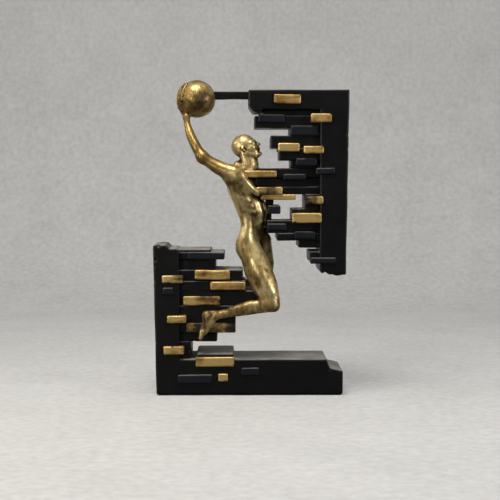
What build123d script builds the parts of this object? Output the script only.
from build123d import *
import os

os.makedirs("parts", exist_ok=True)

# Figure trophy: an athlete between two broken brick walls, one hand on a ball.
# Frame: origin under the middle of the base, +X along the base towards the tall
# upper wall, +Y to the back, +Z up. Millimetres.

# Driving dimensions
HEIGHT = 400.0            # table to the top of the ball
DEPTH = 80.0              # base and pillars, front to back
HALF = DEPTH / 2
BASE_LEFT = -119.8
BASE_RIGHT = 116.4
BASE_TOP = 46.0
FELT = 1.5
LEAN_LEFT = -123.4        # top of the lower pillar leans out this far
LEAN_RIGHT = 123.4        # top of the upper pillar leans out this far
LOWER_INNER = -90.6       # face of the lower pillar that the courses butt against
UPPER_INNER = 86.5        # the same on the upper pillar
UPPER_TOP = 385.5
UPPER_BOTTOM = 152.0
BALL_R = 24.0
BALL_C = Vector(-69.0, 0.0, HEIGHT - BALL_R)
BAR = 10.0                # square bar between ball and lintel
BAR_START = BALL_C.X + 18.0  # the bar is let into the ball from here
BAR_END = 8.0             # and into the lintel up to here
TENON = 6.0               # length of the tenon of each course in its pillar
TENON_HALF = 15.0         # half width of that tenon, front to back
TILE_SEAT = 24.0          # accent bricks are let in to this distance from mid depth
ROD_R = 2.0               # steel rods of the armature
ROD_BEND = 6.0            # inside radius of their bends, at the rod's middle
PLATE_LENGTH = 160.0      # steel ballast let into the underside
PLATE_WIDTH = 50.0
PLATE_THICK = 12.0
EDGE = 0.8                # small cast radius on bricks

# Broken top of the lower pillar, from its outer to its inner edge: X, Z
LOWER_BREAK = [(LEAN_LEFT, 190.0), (-120.4, 191.0), (-108.5, 191.0), (-102.5, 186.0), (-95.5, 186.5)]
# Broken foot of the upper pillar, from its inner to its outer edge
UPPER_BREAK = [(89.0, 154.5), (94.0, 156.5), (97.5, 153.5), (108.0, UPPER_BOTTOM), (119.8, 153.5)]
# Broken end of the lintel, from its top corner down to the first course
LINTEL_BREAK = [(-3.0, 384.0), (-3.0, 366.0), (2.5, 358.0), (14.5, 358.0), (14.5, 361.0)]

# Black courses of the upper wall: left end, bottom, top, distance of the faces from
# mid depth. Each name is one casting and may be stepped; the first box has the tenon.
UPPER_COURSES = {
    "upper_course_1": [(4.5, 338.0, 353.0, 34.0), (14.5, 353.0, 361.0, 30.0)],
    "upper_course_2": [(25.0, 312.5, 328.5, 33.0)],
    "upper_course_3": [(35.5, 297.5, 312.5, 34.0), (50.5, 287.5, 297.5, 32.0)],
    "upper_course_4": [(10.5, 276.0, 287.5, 31.0)],
    "upper_course_5": [(6.0, 264.0, 276.0, 27.0), (40.0, 254.5, 264.0, 29.0)],
    "upper_course_6": [(51.5, 221.5, 236.5, 33.0), (68.0, 236.5, 254.5, 34.0)],
    "upper_course_7": [(14.0, 205.5, 221.5, 31.0)],
    "upper_course_8": [(32.5, 196.0, 205.5, 34.0), (60.0, 187.0, 196.0, 32.5)],
    "upper_course_9": [(74.0, 169.5, 182.5, 35.0)],
}
# Small broken stack that stands on course 7 beside the belly: left, right, bottom, top
STACK = [(18.5, 26.0, 221.5, 230.0), (19.0, 37.5, 230.0, 240.5), (14.5, 29.0, 240.5, 247.5)]
STACK_HALF = 28.0

# Black courses of the lower wall: right end, bottom, top, distance of the faces
LOWER_COURSES = {
    "lower_course_1": [(-33.5, 172.0, 181.5, 33.0), (-50.5, 181.5, 185.0, 32.0)],
    "lower_course_2": [(-44.5, 159.0, 172.0, 31.0)],
    "lower_course_3": [(-10.0, 145.0, 159.0, 33.0)],
    "lower_course_4": [(-6.0, 132.5, 145.0, 34.0)],
    "lower_course_5": [(14.0, 113.5, 132.5, 32.5)],
    "lower_course_6": [(-19.5, 79.5, 113.5, 33.5)],
    "lower_course_7": [(-43.0, 68.0, 79.5, 32.0), (-76.0, BASE_TOP, 68.0, 33.0)],
}

# Accent bricks let into the face: left, right, bottom, top, distance of the face
GOLD = {
    "lintel_gold_brick": (28.5, 62.5, 368.0, 379.5, 43.0),
    "upper_gold_brick_1": (75.0, 101.0, 344.5, 355.5, 43.0),
    "upper_gold_brick_2": (34.0, 61.0, 308.5, 319.0, 38.0),
    "upper_gold_brick_3": (66.0, 91.5, 306.0, 315.5, 42.5),
    "upper_gold_brick_4": (-12.5, 32.5, 276.0, 284.5, 36.0),
    "upper_gold_brick_7": (68.5, 91.0, 242.5, 252.5, 42.5),
    "upper_gold_brick_8": (52.0, 89.0, 218.5, 231.0, 42.0),
    "pillar_gold_brick_1": (-112.0, -85.5, 143.0, 153.0, 43.0),
    "pillar_gold_brick_2": (-106.0, -81.5, 92.5, 102.0, 43.0),
    "pillar_gold_brick_3": (-110.5, -84.5, 52.5, 63.0, 43.0),
    "lower_gold_brick_1": (-71.0, -26.5, 147.0, 159.0, 37.5),
    "lower_gold_brick_2": (-51.5, -7.0, 134.0, 144.5, 37.5),
    "lower_gold_brick_3": (-86.0, -39.0, 114.5, 126.0, 36.5),
    "lower_gold_brick_4": (-82.0, -20.0, 79.5, 92.0, 36.5),
    "base_gold_brick_1": (-70.0, -21.5, 37.0, 49.5, 43.5),
    "base_gold_brick_2": (-41.5, -29.0, 18.5, 28.5, 43.0),
}
NAVY = {
    "upper_navy_brick_1": (9.0, 42.0, 344.5, 354.5, 37.5),
    "upper_navy_brick_3": (56.5, 83.0, 290.5, 299.5, 37.0),
    "upper_navy_brick_4": (81.5, 105.5, 279.5, 287.5, 43.0),
    "upper_navy_brick_5": (40.5, 70.0, 273.0, 280.0, 34.5),
    "upper_navy_brick_6": (19.5, 37.5, 230.0, 240.5, 31.0),
    "upper_navy_brick_7": (20.5, 45.0, 209.0, 217.5, 34.5),
    "upper_navy_brick_8": (55.0, 81.0, 198.5, 207.5, 37.0),
    "upper_navy_brick_9": (75.0, 107.5, 167.5, 175.0, 43.0),
    "lower_navy_brick_1": (-80.5, -33.5, 172.5, 181.5, 36.0),
    "pillar_navy_brick": (-111.5, -97.5, 128.0, 137.0, 42.5),
    "base_navy_brick_1": (-93.0, -49.0, 15.5, 26.5, 42.5),
    "base_navy_brick_2": (-12.5, 10.5, 25.5, 35.5, 42.5),
}
# Accent bricks that run right through the wall
THROUGH = {
    "upper_navy_brick_2": (49.5, 86.5, 328.5, 340.5, 36.5),
    "upper_gold_brick_5": (7.0, 40.0, 254.5, 264.0, 33.0),
    "upper_gold_brick_6": (12.0, 57.0, 247.5, 254.5, 30.5),
}
# This one is held in the near side of the chest and has no twin on the back face
SHOULDER_BRICK = "upper_gold_brick_4"
# Raised step of the base that holds the big gold brick: left, right, top
BASE_STEP = (-69.0, -22.0, 53.0)

# Skeleton of the figure
NEAR_SHOULDER = Vector(-18.0, -35.0, 280.0)
NEAR_ELBOW = Vector(-60.5, -31.0, 301.5)
NEAR_WRIST = Vector(-81.5, -13.0, 350.0)
FAR_SHOULDER = Vector(9.0, 19.0, 278.0)
FAR_ELBOW = Vector(32.0, 40.5, 271.0)
FAR_WRIST = Vector(62.0, 41.5, 268.0)
FAR_HAND = Vector(78.0, 40.0, 268.0)
NEAR_HIP = Vector(-3.0, -19.0, 194.0)
NEAR_THIGH = Vector(8.0, -27.0, 158.0)
NEAR_KNEE = Vector(25.0, -35.0, 114.0)
NEAR_CALF = Vector(-2.0, -41.0, 110.5)
NEAR_ANKLE = Vector(-46.0, -43.5, 101.5)
NEAR_HEEL = Vector(-57.0, -43.5, 104.0)
NEAR_TOE = Vector(-63.5, -43.5, 74.0)
FAR_HIP = Vector(8.0, 7.0, 195.0)
FAR_THIGH = Vector(13.0, 21.5, 160.0)
FAR_KNEE = Vector(18.0, 36.0, 129.0)
FAR_CALF = Vector(-8.0, 40.5, 131.5)
FAR_ANKLE = Vector(-46.0, 44.0, 137.0)
FAR_HEEL = Vector(-57.0, 43.5, 142.0)
FAR_TOE = Vector(-76.0, 43.5, 126.0)
HEAD = Vector(-5.5, -9.5, 310.0)
THIGH_RADII = [16.0, 16.5, 10.0]       # hip, middle, knee
SHIN_RADII = [9.5, 8.0, 5.0, 5.5]      # knee, calf, ankle, heel
FOOT_RADII = [5.5, 3.5]                # heel, toe
# Torso sections: centre X, centre Y, height, half depth, half width, turn to the front
TORSO = [
    (2.0, -6.0, 178.0, 9.0, 12.0, 15),
    (-1.0, -6.0, 190.0, 14.0, 22.0, 20),
    (0.5, -6.5, 202.0, 12.0, 21.0, 22),
    (2.5, -7.0, 214.0, 11.5, 19.0, 24),
    (1.5, -8.0, 228.0, 15.0, 22.5, 26),
    (-3.5, -9.0, 247.0, 18.0, 27.5, 27),
    (-9.0, -9.5, 262.0, 18.5, 29.5, 27),
    (-12.5, -9.5, 274.0, 15.5, 28.0, 27),
    (-11.0, -9.5, 284.0, 9.5, 14.0, 27),
    (-6.5, -9.5, 296.0, 8.0, 8.5, 20),
]


def save(part, name):
    """Label a finished piece and write it as its own STEP file."""
    part.label = name
    export_step(part, f"parts/{name}.step")


def block(left, right, bottom, top, front, back, mode=Mode.ADD):
    """Rectangular block between the six given faces."""
    centre = ((left + right) / 2, (front + back) / 2, (bottom + top) / 2)
    with Locations(centre):
        Box(right - left, back - front, top - bottom, mode=mode)


def tiles_on(left, right, bottom, top):
    """Accent bricks whose seat cuts into the given front area."""
    found = []
    for box in list(GOLD.values()) + list(NAVY.values()):
        x0, x1, z0, z1, _ = box
        if x0 < right and x1 > left and z0 < top and z1 > bottom:
            found.append(box)
    return found


def cut_seats(left, right, bottom, top):
    """Cut the seats of the accent bricks on the front and the back face."""
    for x0, x1, z0, z1, face in tiles_on(left, right, bottom, top):
        block(x0, x1, z0, z1, -face - 1, -TILE_SEAT, Mode.SUBTRACT)
        if (x0, x1, z0, z1, face) != GOLD[SHOULDER_BRICK]:
            block(x0, x1, z0, z1, TILE_SEAT, face + 1, Mode.SUBTRACT)


def tenon(course, side):
    """Tenon box of a course: it starts at the pillar face and runs into the pillar."""
    _, bottom, top, _ = course
    start = LOWER_INNER - TENON if side < 0 else UPPER_INNER
    return start, start + TENON, bottom + 2, top - 2, -TENON_HALF, TENON_HALF


def ballast(mode=Mode.ADD):
    """Steel ballast plate, or the pocket for it in the underside."""
    long_half, wide_half = PLATE_LENGTH / 2, PLATE_WIDTH / 2
    block(-long_half, long_half, FELT, FELT + PLATE_THICK, -wide_half, wide_half, mode)


def bar(mode=Mode.ADD):
    """Square bar between ball and lintel, or the sockets for it."""
    block(BAR_START, BAR_END, UPPER_TOP - BAR, UPPER_TOP, -BAR / 2, BAR / 2, mode)


def limb(points, radii):
    """Tapered limb through the given points, with a ball at each of them."""
    for start, end, r0, r1 in zip(points, points[1:], radii, radii[1:]):
        along = end - start
        with BuildSketch(Plane(start, z_dir=along)) as near_end:
            Circle(r0)
        with BuildSketch(Plane(end, z_dir=along)) as far_end:
            Circle(r1)
        loft(sections=[near_end.sketch, far_end.sketch])
    for point, radius in zip(points, radii):
        with Locations(point):
            Sphere(radius)


def rod_through(points, mode=Mode.ADD):
    """Round steel rod along straight runs joined by bends."""
    with BuildLine() as path:
        FilletPolyline(*points, radius=ROD_BEND)
    with BuildSketch(Plane(path.line @ 0, z_dir=path.line % 0)) as end:
        Circle(ROD_R)
    sweep(sections=end.sketch, path=path.line, mode=mode)


def dowels(mode=Mode.ADD):
    """The straight dowels, as steel or as the holes that hold them."""
    for start, along, length in DOWELS:
        with Locations(Plane(start, z_dir=along).location):
            Cylinder(ROD_R, length, align=(Align.CENTER, Align.CENTER, Align.MIN), mode=mode)


SPINE_TOP = Vector(-9, -10, 268)
NEAR_LEG_ROD = [NEAR_ANKLE, NEAR_KNEE + Vector(-2, 1, 0), NEAR_HIP, Vector(-2, -12, 240), SPINE_TOP]
FAR_LEG_ROD = [FAR_ANKLE, FAR_KNEE, FAR_HIP, Vector(4, -2, 236)]
ARM_ROD = [Vector(-20, -14, 266), NEAR_SHOULDER, NEAR_ELBOW, NEAR_WRIST, BALL_C + Vector(-4, -4, -12)]
# Straight dowels between figure and walls: start, direction, length
DOWELS = [
    (Vector(-4, 0, 270), Axis.X.direction, 34.0),
    (Vector(0, -4, 213), Axis.X.direction, 34.0),
    (Vector(-28, -38.5, 106.5), Axis.Y.direction, 18.0),
    (Vector(6, 34, 128.5), -Axis.Y.direction, 16.0),
]


# Lower frame: base slab and lower pillar in one casting, top of the pillar broken off
with BuildPart() as lower_frame:
    with BuildSketch(Plane.XZ.offset(-HALF)):
        with BuildLine():
            Polyline(
                (BASE_LEFT, FELT), *LOWER_BREAK, (LOWER_INNER, 184.5), (LOWER_INNER, BASE_TOP),
                (96.0, BASE_TOP), (99.5, 35.0), (BASE_RIGHT, 30.7), (BASE_RIGHT, FELT), close=True,
            )
        make_face()
    extrude(amount=DEPTH)
    outer = lower_frame.edges().filter_by(Axis.Y).filter_by_position(Axis.Z, BASE_TOP - 1, BASE_TOP + 1)
    chamfer(lower_frame.edges().filter_by(Axis.Y) - outer.sort_by(Axis.X)[:1], EDGE)
    step_left, step_right, step_top = BASE_STEP
    block(step_left, step_right, BASE_TOP - 1, step_top, -HALF, HALF)
    cut_seats(BASE_LEFT - 5, BASE_RIGHT, 0, 191)
    for courses in LOWER_COURSES.values():
        block(*tenon(courses[0], -1), Mode.SUBTRACT)
    ballast(Mode.SUBTRACT)
save(lower_frame.part, "lower_frame")

# Upper frame: pillar and lintel in one casting, foot of the pillar broken off
with BuildPart() as upper_frame:
    with BuildSketch(Plane.XZ.offset(-HALF)):
        with BuildLine():
            Polyline(
                *LINTEL_BREAK, (UPPER_INNER, 361.0), (UPPER_INNER, 159.0), *UPPER_BREAK,
                (LEAN_RIGHT, UPPER_TOP - 1), (LEAN_RIGHT - 1, UPPER_TOP), (-1.5, UPPER_TOP), close=True,
            )
        make_face()
    extrude(amount=DEPTH)
    cut_seats(-13, LEAN_RIGHT, 152, UPPER_TOP)
    for courses in UPPER_COURSES.values():
        block(*tenon(courses[0], 1), Mode.SUBTRACT)
    bar(Mode.SUBTRACT)
save(upper_frame.part, "upper_frame")

# Courses of both walls, each with its tenon and the seats of its accent bricks
for name, courses in UPPER_COURSES.items():
    with BuildPart() as course:
        for left, bottom, top, face in courses:
            block(left, UPPER_INNER, bottom, top, -face, face)
        if name == "upper_course_7":
            for left, right, bottom, top in STACK:
                block(left, right, bottom, top, -STACK_HALF, STACK_HALF)
        block(*tenon(courses[0], 1))
        low, high = course.part.bounding_box().min.Z, course.part.bounding_box().max.Z
        cut_seats(-13, UPPER_INNER + TENON, low, high)
        for left, right, bottom, top, face in THROUGH.values():
            block(left, right, bottom, top, -HALF, HALF, Mode.SUBTRACT)
        dowels(Mode.SUBTRACT)
    save(course.part, name)

for name, courses in LOWER_COURSES.items():
    with BuildPart() as course:
        for right, bottom, top, face in courses:
            block(LOWER_INNER, right, bottom, top, -face, face)
        block(*tenon(courses[0], -1))
        low, high = course.part.bounding_box().min.Z, course.part.bounding_box().max.Z
        cut_seats(LOWER_INNER - TENON, 20, low, high)
        dowels(Mode.SUBTRACT)
    save(course.part, name)

# Accent bricks, front face proud of the wall, with small cast edges
for name, (left, right, bottom, top, face) in (GOLD | NAVY).items():
    with BuildPart() as brick:
        block(left, right, bottom, top, -face, -TILE_SEAT)
        chamfer(brick.faces().sort_by(Axis.Y)[0].edges(), EDGE)
    save(brick.part, name)

for name, (left, right, bottom, top, face) in THROUGH.items():
    with BuildPart() as brick:
        block(left, right, bottom, top, -face, face)
        chamfer(brick.faces().sort_by(Axis.Y)[0].edges(), EDGE)
    save(brick.part, name)

# The same bricks on the back face, grouped by colour
for name, bricks in (("back_gold_bricks", GOLD), ("back_navy_bricks", NAVY)):
    with BuildPart() as group:
        for brick_name, (left, right, bottom, top, face) in bricks.items():
            if brick_name != SHOULDER_BRICK:
                block(left, right, bottom, top, TILE_SEAT, face)
    save(group.part, name)

# Ball with a socket for the bar and a blind hole for the arm rod
with BuildPart() as ball:
    with Locations(BALL_C):
        Sphere(BALL_R)
    bar(Mode.SUBTRACT)
    rod_through(ARM_ROD, Mode.SUBTRACT)
save(ball.part, "ball")

with BuildPart() as ball_bar:
    bar()
save(ball_bar.part, "ball_bar")


def wall_boxes():
    """Boxes of the walls that the figure leans into: left, right, bottom, top, half depth."""
    boxes = [(left, UPPER_INNER, bottom, top, face)
             for courses in UPPER_COURSES.values() for left, bottom, top, face in courses]
    boxes += [(LOWER_INNER, right, bottom, top, face)
              for courses in LOWER_COURSES.values() for right, bottom, top, face in courses]
    boxes += [(left, right, bottom, top, STACK_HALF) for left, right, bottom, top in STACK]
    boxes += list(THROUGH.values())
    return boxes


def cut_walls():
    """Cut the courses and the accent bricks out of a piece of the figure."""
    for left, right, bottom, top, face in wall_boxes():
        block(left, right, bottom, top, -face, face, Mode.SUBTRACT)
    for left, right, bottom, top, face in (GOLD | NAVY).values():
        block(left, right, bottom, top, -face, -TILE_SEAT, Mode.SUBTRACT)
        block(left, right, bottom, top, TILE_SEAT, face, Mode.SUBTRACT)


# Body of the figure: torso, neck, head and both legs in one casting
with BuildPart() as figure_body:
    for x, y, z, deep, wide, turn in TORSO:
        with BuildSketch(Plane((x, y, z), x_dir=Vector(1, 0, 0).rotate(Axis.Z, -turn))):
            Ellipse(deep, wide)
    loft()
    limb([Vector(-7, -9.5, 294), HEAD + Vector(2, 0, -2), HEAD + Vector(-3.5, 0, 4)], [8.0, 12.5, 14.5])
    limb([NEAR_HIP, NEAR_THIGH, NEAR_KNEE], THIGH_RADII)
    limb([NEAR_KNEE, NEAR_CALF, NEAR_ANKLE, NEAR_HEEL], SHIN_RADII)
    limb([NEAR_HEEL, NEAR_TOE], FOOT_RADII)
    limb([FAR_HIP, FAR_THIGH, FAR_KNEE], THIGH_RADII)
    limb([FAR_KNEE, FAR_CALF, FAR_ANKLE, FAR_HEEL], SHIN_RADII)
    limb([FAR_HEEL, FAR_TOE], FOOT_RADII)
    cut_walls()
    rod_through(NEAR_LEG_ROD, Mode.SUBTRACT)
    rod_through(FAR_LEG_ROD, Mode.SUBTRACT)
    rod_through(ARM_ROD, Mode.SUBTRACT)
    dowels(Mode.SUBTRACT)
save(figure_body.part, "figure_body")

# Hand of the raised arm: palm and fingers as a thin shell that follows the ball
with BuildPart() as hand:
    with BuildSketch(Plane(BALL_C, x_dir=(0.55, -0.84, 0), z_dir=(-0.84, -0.55, 0))):
        with Locations((0, -13)):
            Rectangle(17, 20)
        with Locations((-6.6, 3), (-2.2, 6), (2.2, 6.5), (6.6, 4)):
            SlotOverall(24, 4.0, rotation=90)
        with Locations((9, -8)):
            SlotOverall(17, 4.5, rotation=65)
    extrude(amount=BALL_R + 8)
    with Locations(BALL_C):
        Sphere(BALL_R + 4.5, mode=Mode.INTERSECT)

# Raised arm, a casting of its own that is pinned at the shoulder and at the ball
with BuildPart() as raised_arm:
    limb([NEAR_SHOULDER, NEAR_SHOULDER + Vector(-21, 3, 8), NEAR_ELBOW], [11.5, 9.5, 7.0])
    limb([NEAR_ELBOW, NEAR_ELBOW + Vector(-9, 5, 18), NEAR_WRIST], [7.0, 7.5, 4.8])
    add(hand.part)
    add(figure_body.part, mode=Mode.SUBTRACT)
    with Locations(BALL_C):
        Sphere(BALL_R, mode=Mode.SUBTRACT)
    cut_walls()
    rod_through(ARM_ROD, Mode.SUBTRACT)
save(raised_arm.part, "raised_arm")

# Far arm, reaching forward along the back of the upper wall
with BuildPart() as far_arm:
    limb([FAR_SHOULDER, FAR_ELBOW, FAR_WRIST, FAR_HAND], [11.0, 7.5, 4.8, 6.0])
    add(figure_body.part, mode=Mode.SUBTRACT)
    cut_walls()
    dowels(Mode.SUBTRACT)
save(far_arm.part, "far_arm")

with BuildPart() as armature_rods:
    rod_through(NEAR_LEG_ROD)
    rod_through(FAR_LEG_ROD)
    rod_through(ARM_ROD)
save(armature_rods.part, "armature_rods")

with BuildPart() as figure_dowels:
    dowels()
save(figure_dowels.part, "figure_dowels")

with BuildPart() as ballast_plate:
    ballast()
save(ballast_plate.part, "ballast_plate")

with BuildPart() as felt_pad:
    block(BASE_LEFT + 2, BASE_RIGHT - 2, 0, FELT, -HALF + 2, HALF - 2)
save(felt_pad.part, "felt_pad")
